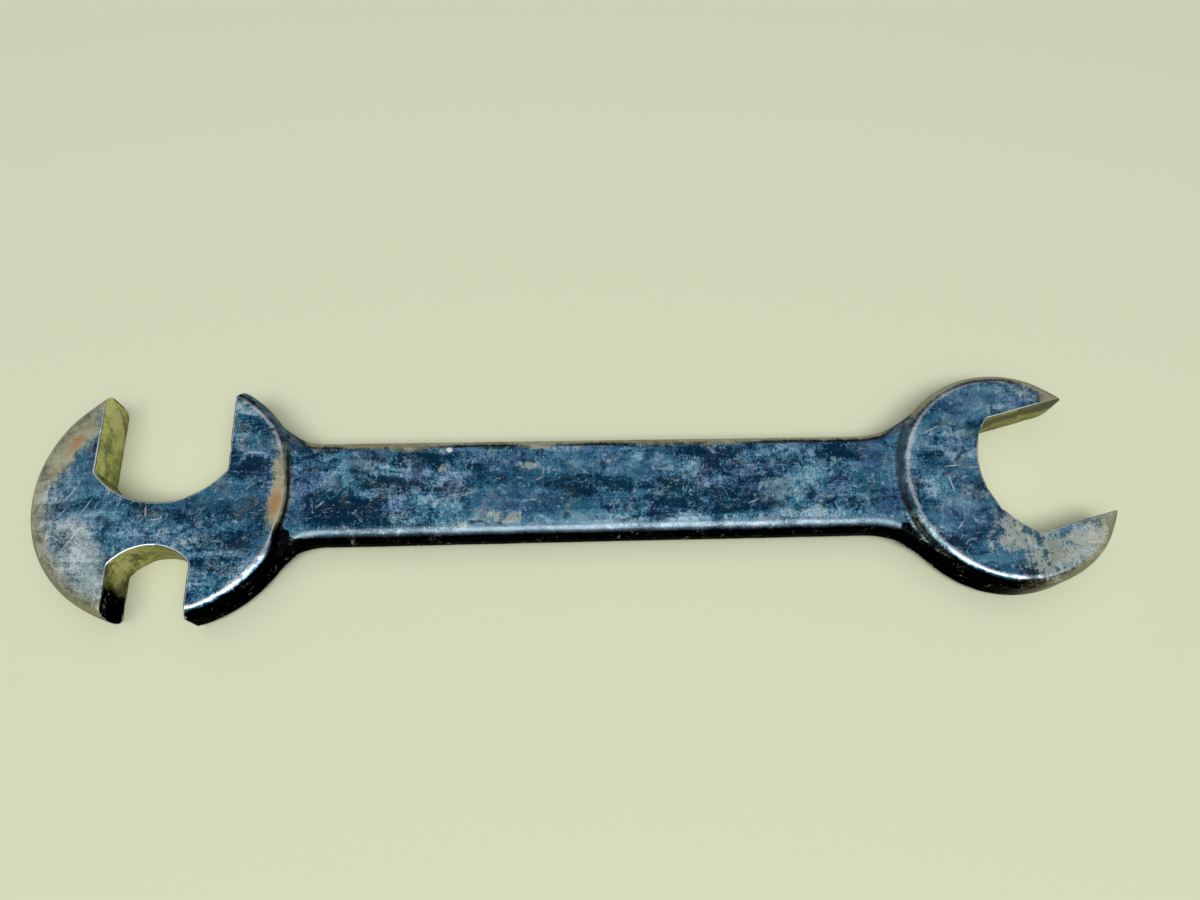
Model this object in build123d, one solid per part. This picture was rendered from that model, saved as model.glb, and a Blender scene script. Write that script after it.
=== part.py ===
from build123d import *
import os
from math import hypot, sqrt

# Double-ended open wrench, forged in one piece. A round head with two opposed jaws stands at the left,
# a flat shank with rounded edges runs to the right, and a smaller round head there holds one angled jaw.
# Millimetres, +Z up. The wrench lies flat on its two heads, and the origin is under the middle of its box.

# Nuts that the jaws take, across their flats, and the room left for them
LARGE_NUT = 26.99
SMALL_NUT = 15.88
NUT_CLEARANCE = 0.22

# Shank
SHANK_THICKNESS = 7.2
SHANK_EDGE_RADIUS = 2.4
SHANK_WIDTH_AT_DOUBLE = 22.6
SHANK_WIDTH_AT_SINGLE = 22.0
DOUBLE_BLEND_RADIUS = 13.0
SINGLE_BLEND_RADIUS = 21.0

# Heads: each stands proud of the shank by one step on both faces, and the double one sits off its centre line
HEAD_STEP = 1.95
HEAD_EDGE_RADIUS = 2.4
HEAD_FOOT_RADIUS = 1.2
HEAD_SPACING = 180.4
DOUBLE_HEAD_OFFSET = 0.5
DOUBLE_HEAD_RADIUS = 27.4
SINGLE_HEAD_RADIUS = 24.5

# Jaws: how far a throat bottom lies behind its head's centre, and how far its arc rises from the jaw roots
DOUBLE_JAW_OUTSET = 1.0
DOUBLE_THROAT_SETBACK = 2.0
SINGLE_THROAT_SETBACK = 6.2
LARGE_THROAT_RISE = 6.9
SMALL_THROAT_RISE = 3.9
THROAT_WEB = 9.4
THROAT_CORNER_RADIUS = 0.8
SINGLE_JAW_ANGLE = 15.0
JAW_TIP_RADIUS = 0.4
JAW_EDGE_BREAK = 0.3

# How deep the shank's round ends sit inside the heads, how far a cutter runs past what it cuts, and the
# error allowed when an edge is looked up by its place
END_INSET = 0.08
CUT_PAST = 5.0
TINY = 1e-4

HEAD_THICKNESS = SHANK_THICKNESS + 2 * HEAD_STEP
MID_HEIGHT = HEAD_THICKNESS / 2
DOUBLE_CENTRE = Vector(-HEAD_SPACING / 2, -DOUBLE_HEAD_OFFSET)
SINGLE_CENTRE = Vector(HEAD_SPACING / 2, 0)


def head(centre, radius):
    """A round disc with both rims rounded, standing on z = 0."""
    disc = Pos(centre.X, centre.Y, MID_HEIGHT) * Cylinder(radius, HEAD_THICKNESS)
    return fillet(disc.edges().filter_by(GeomType.CIRCLE), HEAD_EDGE_RADIUS)


def shank():
    """The bar between the heads, with a concave blend at each corner and rounded edges."""
    half_left = SHANK_WIDTH_AT_DOUBLE / 2
    half_right = SHANK_WIDTH_AT_SINGLE / 2
    left = DOUBLE_CENTRE.X
    right = SINGLE_CENTRE.X
    bar = Polygon(
        (left, -half_left),
        (right, -half_right),
        (right, half_right),
        (left, half_left),
        align=None,
    )
    left_end = Pos(left, DOUBLE_CENTRE.Y) * Circle(DOUBLE_HEAD_RADIUS - END_INSET)
    right_end = Pos(right, SINGLE_CENTRE.Y) * Circle(SINGLE_HEAD_RADIUS - END_INSET)
    plan = bar + left_end + right_end
    left_corners = [v for v in plan.vertices() if left < v.X < left + DOUBLE_HEAD_RADIUS]
    plan = fillet(left_corners, DOUBLE_BLEND_RADIUS)
    right_corners = [v for v in plan.vertices() if right - SINGLE_HEAD_RADIUS < v.X < right]
    plan = fillet(right_corners, SINGLE_BLEND_RADIUS)
    plate = extrude(Pos(0, 0, MID_HEIGHT - SHANK_THICKNESS / 2) * plan, SHANK_THICKNESS)
    rims = plate.edges().group_by(Axis.Z)
    return fillet(rims[0] + rims[-1], SHANK_EDGE_RADIUS)


def is_centred(edge, centre):
    """True for an arc about a head's axis."""
    if edge.geom_type != GeomType.CIRCLE:
        return False
    return hypot(edge.arc_center.X - centre.X, edge.arc_center.Y - centre.Y) < TINY


def lies_at(edge, distance):
    """True for an edge that lies flat, this far above or below the wrench's middle plane."""
    box = edge.bounding_box()
    flat = box.size.Z < TINY
    return flat and abs(abs(box.center().Z - MID_HEIGHT) - distance) < TINY


def head_arcs(edges):
    """The edges that run round one of the two heads."""
    return [e for e in edges if is_centred(e, DOUBLE_CENTRE) or is_centred(e, SINGLE_CENTRE)]


def jaw_side(half, root, head_radius, head_offset):
    """One wall of a jaw, from its root out past the head's rim, for the wall on the +Y side.

    The wall leaves on a small arc that meets the rim at a tangent, so the jaw tip comes out rounded.
    """
    arc_y = half + JAW_TIP_RADIUS
    arc_x = sqrt((head_radius - JAW_TIP_RADIUS) ** 2 - (arc_y - head_offset) ** 2)
    middle = Vector(0, head_offset)
    outward = (Vector(arc_x, arc_y) - middle).normalized()
    touch = middle + outward * head_radius
    out = touch + Vector(-outward.Y, outward.X) * CUT_PAST
    far = head_radius + CUT_PAST
    wall = Line((root, half), (arc_x, half))
    tip = TangentArc((arc_x, half), touch, tangent=(1, 0))
    return [wall, tip, Polyline(touch, out, (far, out.Y), (far, 0))]


def jaw_outline(nut, setback, rise, head_radius, head_offset, grow):
    """Plan of one open jaw in its own axes: it opens along +X, and its throat is an arc between the roots.

    The head's centre lies on the jaw's Y axis, at head_offset. The plan is widened by grow on every side.
    """
    nominal_half = (nut + NUT_CLEARANCE) / 2
    nominal_radius = (nominal_half**2 + rise**2) / (2 * rise)
    throat_centre = nominal_radius - setback
    half = nominal_half + grow
    throat_radius = nominal_radius + grow
    root = throat_centre - sqrt(throat_radius**2 - half**2)
    upper = jaw_side(half, root, head_radius, head_offset)
    lower = [edge.mirror(Plane.XZ) for edge in jaw_side(half, root, head_radius, -head_offset)]
    throat = ThreePointArc((root, half), (throat_centre - throat_radius, 0), (root, -half))
    outline = make_face(Curve() + [throat] + upper + lower)
    roots = [v for v in outline.vertices() if abs(v.X - root) < TINY and abs(abs(v.Y) - half) < TINY]
    return fillet(roots, THROAT_CORNER_RADIUS)


def jaw_cutter(centre, angle, *jaw):
    """One jaw turned and set on its head, as a prism through both faces that widens where it leaves them."""
    plan = jaw_outline(*jaw, 0)
    wide_plan = jaw_outline(*jaw, 2 * JAW_EDGE_BREAK)
    prism = extrude(Pos(0, 0, -CUT_PAST) * plan, HEAD_THICKNESS + 2 * CUT_PAST)
    foot = Pos(0, 0, HEAD_THICKNESS - JAW_EDGE_BREAK) * plan
    mouth = Pos(0, 0, HEAD_THICKNESS + JAW_EDGE_BREAK) * wide_plan
    flare = loft([foot, mouth], ruled=True)
    cutter = prism + flare + flare.mirror(Plane.XY.offset(MID_HEIGHT))
    return Pos(centre.X, centre.Y) * Rot(0, 0, angle) * cutter


def cut_jaws(body):
    """The body with its three jaws cut through and their edges broken."""
    double_jaws = Vector(DOUBLE_CENTRE.X - DOUBLE_JAW_OUTSET, DOUBLE_CENTRE.Y)
    small_setback = -(DOUBLE_THROAT_SETBACK + THROAT_WEB)
    wide = (LARGE_NUT, DOUBLE_THROAT_SETBACK, LARGE_THROAT_RISE, DOUBLE_HEAD_RADIUS, -DOUBLE_JAW_OUTSET)
    narrow = (SMALL_NUT, small_setback, SMALL_THROAT_RISE, DOUBLE_HEAD_RADIUS, DOUBLE_JAW_OUTSET)
    angled = (LARGE_NUT, SINGLE_THROAT_SETBACK, LARGE_THROAT_RISE, SINGLE_HEAD_RADIUS, 0)
    body -= jaw_cutter(double_jaws, 90, *wide)
    body -= jaw_cutter(double_jaws, -90, *narrow)
    body -= jaw_cutter(SINGLE_CENTRE, SINGLE_JAW_ANGLE, *angled)
    return body


def wrench():
    """The whole forging, with its box centred over the origin."""
    body = shank() + head(DOUBLE_CENTRE, DOUBLE_HEAD_RADIUS) + head(SINGLE_CENTRE, SINGLE_HEAD_RADIUS)
    steps = head_arcs([e for e in body.edges() if lies_at(e, SHANK_THICKNESS / 2)])
    body = fillet(steps, HEAD_FOOT_RADIUS)
    body = cut_jaws(body)
    box = body.bounding_box()
    return Pos(-box.center().X, -box.center().Y, -box.min.Z) * body


os.makedirs("parts", exist_ok=True)
forged_body = wrench()
export_step(forged_body, "parts/forged_body.step")
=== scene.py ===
from math import pi, radians, sqrt

import bpy
import numpy as np
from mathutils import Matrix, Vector
from mathutils.geometry import delaunay_2d_cdt


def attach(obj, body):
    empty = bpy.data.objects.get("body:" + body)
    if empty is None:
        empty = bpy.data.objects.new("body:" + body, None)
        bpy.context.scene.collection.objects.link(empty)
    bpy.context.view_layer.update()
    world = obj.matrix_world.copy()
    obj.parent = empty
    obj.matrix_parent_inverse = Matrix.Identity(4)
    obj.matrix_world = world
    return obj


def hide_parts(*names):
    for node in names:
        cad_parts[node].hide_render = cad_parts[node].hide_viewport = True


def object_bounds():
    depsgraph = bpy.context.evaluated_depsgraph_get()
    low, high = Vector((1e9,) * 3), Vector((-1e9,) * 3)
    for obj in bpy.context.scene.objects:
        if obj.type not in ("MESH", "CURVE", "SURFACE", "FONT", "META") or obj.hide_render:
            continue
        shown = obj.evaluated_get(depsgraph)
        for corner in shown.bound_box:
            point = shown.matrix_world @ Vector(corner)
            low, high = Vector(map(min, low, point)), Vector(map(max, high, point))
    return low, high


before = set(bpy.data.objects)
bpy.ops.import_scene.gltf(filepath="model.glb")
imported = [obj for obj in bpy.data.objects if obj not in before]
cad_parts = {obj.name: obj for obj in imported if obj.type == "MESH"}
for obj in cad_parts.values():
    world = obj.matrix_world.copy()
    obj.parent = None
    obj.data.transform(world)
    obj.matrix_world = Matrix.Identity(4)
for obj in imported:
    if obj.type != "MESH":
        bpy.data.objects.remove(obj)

bl_info = {
    "name": "Double-ended open wrench",
    "version": (1, 0, 0),
    "blender": (4, 5, 0),
    "location": "View3D > Sidebar > Wrench",
    "description": "A worn, blackened, forged wrench and the plain studio it is shown in",
    "category": "Object",
}

CAD_NODE = "forged_body"
CAD_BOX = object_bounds()

# Millimetres in a metre. The shapes below are worked out in millimetres, in the CAD's own axes.
MM = 1000.0

# Sizes that this mesh shares with the CAD solid
HEAD_TOP = 11.1
SHANK_TOP = 9.15
RIM = 2.4
FOOT = 1.2
SHANK_AXIS = 1.176
SHANK_HALF_LEFT = 11.3
SHANK_HALF_RIGHT = 11.0
END_INSET = 0.08
CORNER = 0.8
DOUBLE_JAWS = (-88.985, 0.676)
LARGE_HALF = 13.605
SMALL_HALF = 8.05
LARGE_RISE = 6.9
SMALL_RISE = 3.9

# Width and depth of a rim's rounding as use has left it: in the middle of the crescent, which is the double
# head's outer side, at the crescent's two tips, and at the tips of the angled jaw
CRESCENT_MIDDLE = (3.6, 2.7)
CRESCENT_TIP = (1.4, 5.2)
ANGLED_TIP = (1.8, 4.6)

# How much wider the shank's rounded edge is on the -Y side, how much narrower the double head's rim is where
# it crosses the shank, and how far from a head the shank's rounded edge fades out
NEAR_EDGE_WIDER = 1.3
STEP_NARROWER = 1.4
WEB = 4.0

# Angles from the shank's direction, in degrees: where a raised face begins to stand back, and where it stands
# back in full on the -Y side and on the +Y side
SETBACK_START = 33.5
SETBACK_FULL_NEAR = 18
SETBACK_FULL_FAR = 8

# Rows of points: how many lie across a rounded edge and up a wall, how far from a step and from a jaw its own
# rows lie, and where the flat face begins, in widths of the rounded edge beside it
EDGE_ROWS = 9
WALL_ROWS = 9
STEP_ROWS = (-0.01, 0.03, 0.2, 0.45, 0.8, 1.15)
JAW_ROWS = (0.05, 0.15, 0.3, 0.48)
FLAT_START = 1.12
EDGE_SHARES = (*(1 - np.cos(np.linspace(0, pi / 2, EDGE_ROWS + 1)[1:])), FLAT_START)

# How far other rows stay from a jaw and from a step, how far the even grid stays from a jaw, a step and the
# rows beside it, and how far from a jaw the distance to it is worked out
ROWS_FROM_JAW = 0.62
ROWS_FROM_STEP = 1.3
GRID_FROM_JAW = 0.8
GRID_FROM_STEP = 1.5
GRID_FROM_ROWS = 0.3
JAW_REACH = 3.0

# How near a point counts as on the outline, how far inside it a row's point lies at least, how much deeper
# inside than the shank's round ends a point of its bar lies, and a value below every real height or depth
ON_OUTLINE = 0.003
INSIDE = 0.004
ROUND_END = 0.02
BELOW = -1000.0

# Waves of the forged surface and of its pits: how many, and their shortest and longest length
LONG_WAVES = (24, 9.0, 30.0)
SHORT_WAVES = (24, 3.0, 8.0)
PIT_WAVES = (40, 1.2, 3.0)

# Dents along the edges and on the faces: how many, and the least and the most that they are wide and deep
EDGE_DENTS = (70, (0.5, 1.3), (0.05, 0.2))
FACE_DENTS = (110, (0.4, 0.9), (0.03, 0.09))
SEED = 7

# Studio, in metres and degrees. The camera stands where the photograph was taken from. The walls are dark up
# to the first height and light from the second on, both as sines of the angle above the horizon.
FLOOR_SIZE = 12.0
SOFTBOX_SIZE = (1.3, 0.45)
SOFTBOX_PLACE = (0.0, -0.42, 1.15)
WALL_HEIGHTS = (0.55, 0.88)
WALL_LIGHT = (0.05, 0.82)
SENSOR_WIDTH = 36.0
NEAREST_SEEN = 0.01
CAMERA_PLACE = (-0.00618537, -0.06390681, 0.19682898)
CAMERA_TURN = (21.35823, -2.1752, -1.86123)


def smooth(low, high, value):
    """0 below low, 1 above high, and a soft step between."""
    t = np.clip((value - low) / (high - low), 0, 1)
    return t * t * (3 - 2 * t)


def bell(value, middle, width):
    """1 at the middle, falling off softly on both sides."""
    return np.exp(-(((value - middle) / width) ** 2))


def rounded(inset, width, depth):
    """How far a rounded edge has dropped, this far inside it."""
    t = np.clip(1 - inset / width, 0, 1)
    return depth * (1 - np.sqrt(1 - t * t))


def arc(centre, radius, start, end, spacing):
    """Evenly spaced points along an arc, both ends included."""
    steps = max(2, int(np.ceil(abs(end - start) * radius / spacing)))
    turn = np.linspace(start, end, steps + 1)
    return np.asarray(centre) + radius * np.column_stack((np.cos(turn), np.sin(turn)))


def line(start, end, spacing):
    """Evenly spaced points along a straight line, both ends included."""
    start, end = np.asarray(start, float), np.asarray(end, float)
    steps = max(1, int(np.ceil(np.hypot(*(end - start)) / spacing)))
    return start + (end - start) * np.linspace(0, 1, steps + 1)[:, None]


def polyline_gap(points, outline, far):
    """Distance from points to a line of straight pieces, for points nearer than far."""
    gap = np.full(len(points), far)
    low, high = outline.min(0) - far, outline.max(0) + far
    near = np.nonzero(((points > low) & (points < high)).all(1))[0]
    start, step = outline[:-1], np.diff(outline, axis=0)
    length = (step**2).sum(1)
    for part in np.array_split(near, max(1, len(near) // 2000)):
        away = points[part, None] - start
        t = np.clip((away * step).sum(2) / length, 0, 1)
        gap[part] = np.minimum(np.hypot(*np.moveaxis(away - t[..., None] * step, 2, 0)).min(1), far)
    return gap


def jaw_gap(points, jaws):
    """Distance from points to the nearest of the jaws' outlines."""
    return np.min([polyline_gap(points, outline, JAW_REACH) for outline in jaws], 0)


class Head:
    """One round head: its centre, its radius, the blend to the shank and the side that the shank leaves on.

    Where its raised face crosses the shank, the rim stands back by the setback.
    """

    def __init__(self, centre, radius, blend, towards, setback):
        self.centre = np.array(centre)
        self.radius = radius
        self.blend = blend
        self.towards = towards
        self.setback = setback

    def outset(self, points):
        """How far points lie outside the head's rim; negative inside."""
        return np.hypot(*(points - self.centre).T) - self.radius

    def angle(self, points):
        """The direction of points from the head's centre, in radians from +X."""
        away = points - self.centre
        return np.arctan2(away[:, 1], away[:, 0])

    def facing(self, points):
        """1 on the side that the shank leaves on, 0 elsewhere."""
        away = points - self.centre
        turn = np.degrees(np.arctan2(abs(away[:, 1]), self.towards * away[:, 0]))
        return smooth(SETBACK_START, np.where(away[:, 1] > 0, SETBACK_FULL_FAR, SETBACK_FULL_NEAR), turn)

    def step(self, points):
        """How far points lie outside the rim of the raised face; negative inside."""
        return self.outset(points) + self.setback * self.facing(points)


DOUBLE = Head((-87.985, 0.676), 27.4, 13.0, 1, 1.9)
SINGLE = Head((92.415, 1.176), 24.5, 21.0, -1, 0.0)
HEADS = (DOUBLE, SINGLE)


class Tip:
    """One rounded jaw tip: its centre, its radius and the ways from it square to the rim and to the wall."""

    def __init__(self, centre, radius, to_rim, to_wall):
        self.centre, self.radius = centre, radius
        self.ways = to_rim / np.hypot(*to_rim), to_wall / np.hypot(*to_wall)
        self.span = np.arccos(self.ways[0] @ self.ways[1])

    def share(self, points):
        """How far round the tip points lie: 0 at the rim, 1 at the wall, and more where it ends."""
        away = points - self.centre
        reach = np.maximum(np.hypot(*away.T), 1e-9)
        from_rim, from_wall = (np.arccos(np.clip(away @ way / reach, -1, 1)) for way in self.ways)
        beyond = (from_rim + from_wall < self.span + 1e-6) & (reach < self.radius + 10 * ON_OUTLINE)
        return np.where(beyond, from_rim / self.span, 2.0)


class Jaw:
    """One open jaw in its own axes, u out of the mouth and v to the left of it."""

    def __init__(self, head, origin, turn, half, setback, rise, tip_radii):
        self.head = head
        self.origin = np.array(origin)
        self.turn = radians(turn)
        self.half = half
        self.throat_radius = (half**2 + rise**2) / (2 * rise)
        self.throat = self.throat_radius - setback
        self.tip_radii = dict(zip((-1, 1), tip_radii))

    def place(self, points):
        """Points from the jaw's axes to the part's."""
        u, v = np.asarray(points, float).T
        cos, sin = np.cos(self.turn), np.sin(self.turn)
        return self.origin + np.column_stack((u * cos - v * sin, u * sin + v * cos))

    def tip_place(self, side):
        """A tip's centre in the jaw's axes, with that side taken as v > 0, and the v of the head's centre."""
        away = self.head.centre - self.origin
        head_v = side * (away[1] * np.cos(self.turn) - away[0] * np.sin(self.turn))
        tip_v = self.half + self.tip_radii[side]
        tip_u = sqrt((self.head.radius - self.tip_radii[side]) ** 2 - (tip_v - head_v) ** 2)
        return tip_u, tip_v, head_v

    def tip(self, side):
        """The rounded tip at the end of one wall."""
        tip_u, tip_v, _ = self.tip_place(side)
        centre, wall = self.place(((tip_u, side * tip_v), (tip_u, side * self.half)))
        return Tip(centre, self.tip_radii[side], centre - self.head.centre, wall - centre)

    def wall(self, side, spacing):
        """The outline from one tip down to the throat's lowest point, for the side v > 0 or v < 0."""
        tip_u, tip_v, head_v = self.tip_place(side)
        rim_turn = np.arctan2(tip_v - head_v, tip_u)
        corner_v = self.half - CORNER
        corner_u = self.throat - sqrt((self.throat_radius - CORNER) ** 2 - corner_v**2)
        corner_turn = np.arctan2(corner_v, corner_u - self.throat)
        outline = np.vstack((
            arc((tip_u, tip_v), self.tip_radii[side], rim_turn, -pi / 2, spacing / 3),
            line((tip_u, self.half), (corner_u, self.half), spacing)[1:],
            arc((corner_u, corner_v), CORNER, pi / 2, corner_turn, spacing / 2)[1:],
            arc((self.throat, 0), self.throat_radius, corner_turn, pi, spacing)[1:],
        ))
        return self.place(outline * (1, side))


# Where the jaws lie, how they are turned and shaped, and how round use has left the tips of their two walls
WIDE_JAW = Jaw(DOUBLE, DOUBLE_JAWS, 90, LARGE_HALF, 2.0, LARGE_RISE, (1.4, 0.15))
NARROW_JAW = Jaw(DOUBLE, DOUBLE_JAWS, -90, SMALL_HALF, -11.4, SMALL_RISE, (0.15, 0.3))
ANGLED_JAW = Jaw(SINGLE, SINGLE.centre, 15, LARGE_HALF, 6.2, LARGE_RISE, (0.3, 0.3))
JAWS = (WIDE_JAW, NARROW_JAW, ANGLED_JAW)
TIPS = [(jaw.head, jaw.tip(side)) for jaw in JAWS for side in (-1, 1)]

TAPER = (SHANK_HALF_RIGHT - SHANK_HALF_LEFT) / (SINGLE.centre[0] - DOUBLE.centre[0])


def shank_half(x):
    """Half the shank's width at a place along it."""
    return SHANK_HALF_LEFT + TAPER * (x - DOUBLE.centre[0])


class Blend:
    """The concave arc that takes one long edge of the shank into a head."""

    def __init__(self, head, side):
        self.head, self.side, self.radius = head, side, head.blend
        reach = head.radius - END_INSET + head.blend
        # Each round brings the centre nearer to where the arc touches both the round end and the tapered edge
        x = head.centre[0]
        for _ in range(12):
            y = SHANK_AXIS + side * (shank_half(x) + head.blend * sqrt(1 + TAPER**2))
            x = head.centre[0] + head.towards * sqrt(reach**2 - (y - head.centre[1]) ** 2)
        self.centre = np.array((x, y))
        self.to_head = (head.centre - self.centre) / reach
        self.to_line = np.array((-TAPER, -side)) / sqrt(1 + TAPER**2)
        open_turn = (reach**2 + head.blend**2 - head.radius**2) / (2 * reach * head.blend)
        head_turn = np.arctan2(self.to_head[1], self.to_head[0])
        self.line_turn = np.arctan2(self.to_line[1], self.to_line[0])
        span = (self.line_turn - head_turn + pi) % (2 * pi) - pi
        self.rim_turn = self.line_turn - span + np.sign(span) * np.arccos(open_turn)

    def points(self, inset, spacing):
        """Points from the head's rim to the shank's edge, this far inside the outline."""
        return arc(self.centre, self.radius + inset, self.rim_turn, self.line_turn, spacing)

    def holds(self, points):
        """True for points on this blend's side that its arc is the nearest outline to."""
        away = points - self.centre
        turn_a = self.to_head[0] * away[:, 1] - self.to_head[1] * away[:, 0]
        turn_b = away[:, 0] * self.to_line[1] - away[:, 1] * self.to_line[0]
        between = (turn_a * turn_b >= 0) & (away @ (self.to_head + self.to_line) > 0)
        return between & (self.side * (points[:, 1] - SHANK_AXIS) > 0)


LOWER_LEFT, LOWER_RIGHT = Blend(DOUBLE, -1), Blend(SINGLE, -1)
UPPER_RIGHT, UPPER_LEFT = Blend(SINGLE, 1), Blend(DOUBLE, 1)
BLENDS = (LOWER_LEFT, LOWER_RIGHT, UPPER_RIGHT, UPPER_LEFT)


def shank_inset(points):
    """How far points lie inside the shank's plan, its round ends included; negative outside."""
    x, y = points.T
    inset = np.where(
        (x > DOUBLE.centre[0]) & (x < SINGLE.centre[0]),
        (shank_half(x) - abs(y - SHANK_AXIS)) / sqrt(1 + TAPER**2),
        BELOW,
    )
    for head in HEADS:
        inset = np.maximum(inset, -head.outset(points) - END_INSET)
    for blend in BLENDS:
        curved = np.hypot(*(points - blend.centre).T) - blend.radius
        inset = np.where(blend.holds(points), curved, inset)
    return inset


def rim_shape(head, points):
    """Width and depth of a head's rounded rim, which use has changed on the crescent and at the tips."""
    turn = np.degrees(head.angle(points)) % 360
    plain = np.full((2, len(points)), RIM)
    if head is SINGLE:
        worn = np.maximum(smooth(70, 50, turn), smooth(318, 338, turn))
        return plain + (np.array(ANGLED_TIP)[:, None] - RIM) * worn
    plain[0] -= STEP_NARROWER * head.facing(points)
    worn = smooth(85, 100, turn) * smooth(280, 265, turn)
    middle = smooth(118, 145, turn) * smooth(255, 228, turn)
    return plain + (np.outer(CRESCENT_TIP, 1 - middle) + np.outer(CRESCENT_MIDDLE, middle) - RIM) * worn


def shank_edge_width(points):
    """Width of the shank's rounded edge: the edge on the -Y side is rubbed broader than the other."""
    return RIM + NEAR_EDGE_WIDER * smooth(SHANK_AXIS + 2.0, SHANK_AXIS - 2.0, points[:, 1])


def head_drop(head, points, edge_break):
    """How far a head's rounded rim has dropped; round a jaw tip it narrows to the wall's small rounding."""
    width, depth = rim_shape(head, points)
    drop = rounded(np.maximum(-head.step(points), 0), width, depth)
    for tip_head, tip in TIPS:
        if tip_head is head:
            share = tip.share(points)
            inset = np.maximum(tip.radius - np.hypot(*(points - tip.centre).T), 0)
            left = np.clip(1 - share**3, 0, 1)
            worn_width, worn_depth = (size * left + edge_break * (1 - left) for size in (width, depth))
            worn = rounded(inset, worn_width, worn_depth)
            drop = np.where(share <= 1, np.maximum(drop, worn), drop)
    return drop


def top_height(points, gap, edge_break):
    """Height of the upper surface over points of the plan."""
    inset = shank_inset(points)
    steps = [head.step(points) for head in HEADS]
    drop = rounded(np.maximum(inset, 0), shank_edge_width(points), RIM)
    web = (HEAD_TOP - SHANK_TOP) * smooth(WEB, 0.0, np.maximum(np.min(steps, 0), 0)) * smooth(RIM, 0.0, inset)
    in_shank = inset > -ON_OUTLINE
    for head in HEADS:
        outset = head.outset(points)
        in_shank &= (outset > ON_OUTLINE) | (inset > ROUND_END - outset) | (head.facing(points) > 0)
    plate = np.where(in_shank, SHANK_TOP - np.maximum(drop - web, 0), BELOW)
    height = plate
    reach = sqrt((RIM + FOOT) ** 2 - (SHANK_TOP + FOOT - HEAD_TOP + RIM) ** 2) - RIM
    meet = (reach + RIM) * RIM / (RIM + FOOT) - RIM
    for head, step in zip(HEADS, steps):
        on_head = (step < ON_OUTLINE) | ((head.outset(points) < ON_OUTLINE) & ~in_shank)
        top = np.where(on_head, HEAD_TOP - head_drop(head, points, edge_break), BELOW)
        outset = step * RIM / rim_shape(head, points)[0]
        lift = np.sqrt(np.maximum(FOOT**2 - (reach - outset) ** 2, 0))
        foot = np.where((outset > meet) & (outset < reach), plate + FOOT - lift, BELOW)
        height = np.max((height, foot, top), 0)
    return height - rounded(gap, edge_break, edge_break)


def rim_arc(head, start, end, spacing):
    """The head's rim from one outline point to the next, anticlockwise, without its ends."""
    a, b = head.angle(np.array((start, end)))
    return arc(head.centre, head.radius, a, a + (b - a) % (2 * pi), spacing)[1:-1]


def plan_outline(spacing):
    """The wrench's outline seen from above, anticlockwise, and the outline of each jaw on its own."""
    jaws = []
    for jaw in JAWS:
        jaws.append(np.vstack((jaw.wall(-1, spacing), jaw.wall(1, spacing)[-2::-1])))
    wide, narrow, angled = jaws
    lower_left, lower_right, upper_right, upper_left = (b.points(0, spacing) for b in BLENDS)
    outline = np.vstack((
        rim_arc(DOUBLE, upper_left[0], wide[0], spacing),
        wide,
        rim_arc(DOUBLE, wide[-1], narrow[0], spacing),
        narrow,
        rim_arc(DOUBLE, narrow[-1], lower_left[0], spacing),
        lower_left,
        line(lower_left[-1], lower_right[-1], spacing)[1:-1],
        lower_right[::-1],
        rim_arc(SINGLE, lower_right[0], angled[0], spacing),
        angled,
        rim_arc(SINGLE, angled[-1], upper_right[0], spacing),
        upper_right,
        line(upper_right[-1], upper_left[-1], spacing)[1:-1],
        upper_left[::-1],
    ))
    return outline, jaws


def head_rows(jaws, spacing):
    """Rows that follow the heads' rounded rims and the feet of their steps."""
    rows = []
    for head in HEADS:
        turns = np.arange(0, 2 * pi, spacing / head.radius)
        out = np.column_stack((np.cos(turns), np.sin(turns)))
        width = rim_shape(head, head.centre + out)[0][:, None]
        rim = (head.radius - head.setback * head.facing(head.centre + out))[:, None]
        for share in EDGE_SHARES:
            rows.append(head.centre + out * (rim - share * width))
        on_shank = shank_inset(head.centre + out * (head.radius + 0.05)) > 0.05
        for outset in STEP_ROWS:
            rows.append((head.centre + out * (rim + outset))[on_shank])
    points = np.vstack(rows)
    inset = np.max([-DOUBLE.outset(points), -SINGLE.outset(points), shank_inset(points)], 0)
    return points[(jaw_gap(points, jaws) > ROWS_FROM_JAW) & (inset > INSIDE)]


def shank_rows(spacing):
    """Rows that follow the shank's rounded edges and their blends."""
    rows = []
    for share in EDGE_SHARES:
        for blend in BLENDS:
            rows.append(blend.points(share * shank_edge_width(blend.centre[None])[0], spacing))
        for left, right in ((LOWER_LEFT, LOWER_RIGHT), (UPPER_LEFT, UPPER_RIGHT)):
            width = shank_edge_width(left.centre[None])[0]
            ends = [b.centre + b.to_line * (b.radius + share * width) for b in (left, right)]
            rows.append(line(*ends, spacing)[1:-1])
    points = np.vstack(rows)
    return points[np.min([head.step(points) for head in HEADS], 0) > ROWS_FROM_STEP]


def jaw_rows(jaws):
    """Rows that follow the jaws' broken edges."""
    rows = []
    for outline in jaws:
        along = np.gradient(outline, axis=0)
        along /= np.hypot(*along.T)[:, None]
        inward = np.column_stack((-along[:, 1], along[:, 0]))
        for distance in JAW_ROWS:
            row = outline + inward * distance
            rows.append(row[polyline_gap(row, outline, JAW_REACH) > 0.9 * distance])
    points = np.vstack(rows)
    return points[np.min([head.outset(points) for head in HEADS], 0) < -0.03]


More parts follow.
